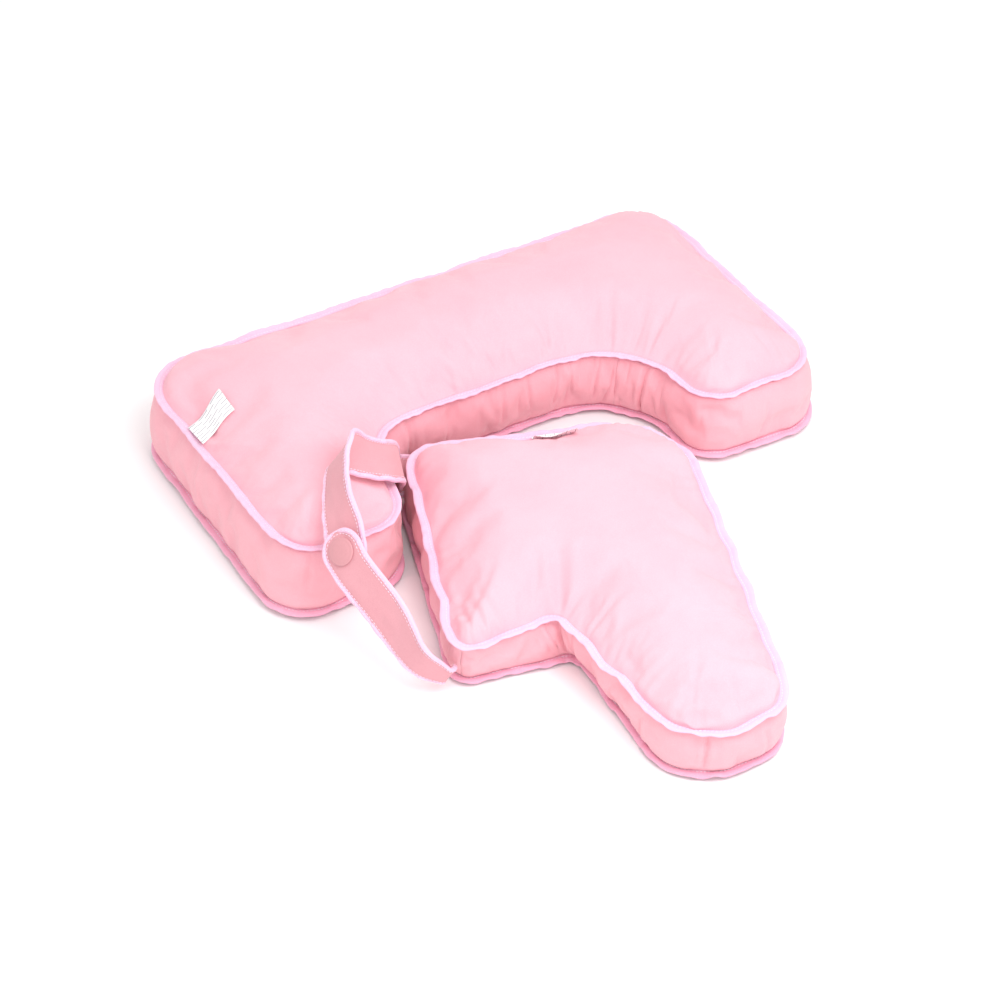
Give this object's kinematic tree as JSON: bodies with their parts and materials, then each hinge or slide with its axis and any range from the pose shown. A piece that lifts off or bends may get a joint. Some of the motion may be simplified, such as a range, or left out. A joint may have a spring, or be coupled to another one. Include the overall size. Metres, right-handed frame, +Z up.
{
  "type": "nursing pillow",
  "caption": "Nursing pillow set: a U-shaped boxed cushion and a boot-shaped cushion in its bay, with bound seams and a snap-fastened strap loop.",
  "frame": {"origin": "middle of the bounding box in plan, on the surface that both cushions lie on", "axes": "+X along the large cushion's width, +Y towards its closed back, +Z up"},
  "size_m": [0.6122, 0.6762, 0.1595],
  "materials": {
    "panel": "plain-woven pale pink cotton",
    "wall": "plain-woven salmon pink cotton",
    "binding": "satin-edged pink bias tape",
    "filling": "polyester fibre",
    "label": "white woven label",
    "snap": "satin pink press stud"
  },
  "bodies": {
    "main_cushion": {"main_fill": "filling", "main_top_panel": "panel", "main_bottom_panel": "panel", "main_wall_bay": "wall", "main_wall_outer": "wall", "main_top_binding": "binding", "main_bottom_binding": "binding"},
    "main_label": {"main_care_label": "label"},
    "small_cushion": {"small_fill": "filling", "small_top_panel": "panel", "small_bottom_panel": "panel", "small_wall": "wall", "small_end_wall": "wall", "small_top_binding": "binding", "small_bottom_binding": "binding"},
    "small_label": {"small_care_label": "label"},
    "strap_front": {"strap_front_web": "wall", "strap_front_binding": "binding", "snap_cap": "snap", "snap_socket": "snap"},
    "strap_rear": {"strap_rear_web": "wall", "strap_rear_binding": "binding", "snap_stud": "snap", "snap_post": "snap"}
  },
  "joints": [
    {"name": "small_cushion_lift", "type": "slide", "parent": "main_cushion", "child": "small_cushion", "axis": [0, 0, 1], "range_m": [0, 0.25]},
    {"name": "strap_front_swing", "type": "hinge", "parent": "small_cushion", "child": "strap_front", "pos_m": [-0.21, -0.134, 0.03], "axis": [0.6522, -0.2301, 0.7223], "range_deg": [0, 100]},
    {"name": "strap_rear_swing", "type": "hinge", "parent": "small_cushion", "child": "strap_rear", "pos_m": [-0.1235, 0.118, 0.035], "axis": [-0.76, 0.65, 0], "range_deg": [0, 25]},
    {"name": "main_label_flip", "type": "hinge", "parent": "main_cushion", "child": "main_label", "pos_m": [-0.2878, 0.213, 0.0785], "axis": [0.034, -0.9994, 0], "range_deg": [0, 120]},
    {"name": "small_label_flip", "type": "hinge", "parent": "small_cushion", "child": "small_label", "pos_m": [0.016, 0.0704, 0.0615], "axis": [-0.9552, 0.2961, 0], "range_deg": [0, 120]}
  ],
  "couplings": [
    {"joint": "strap_rear_swing", "follows": "strap_front_swing", "ratio": 0.25}
  ]
}
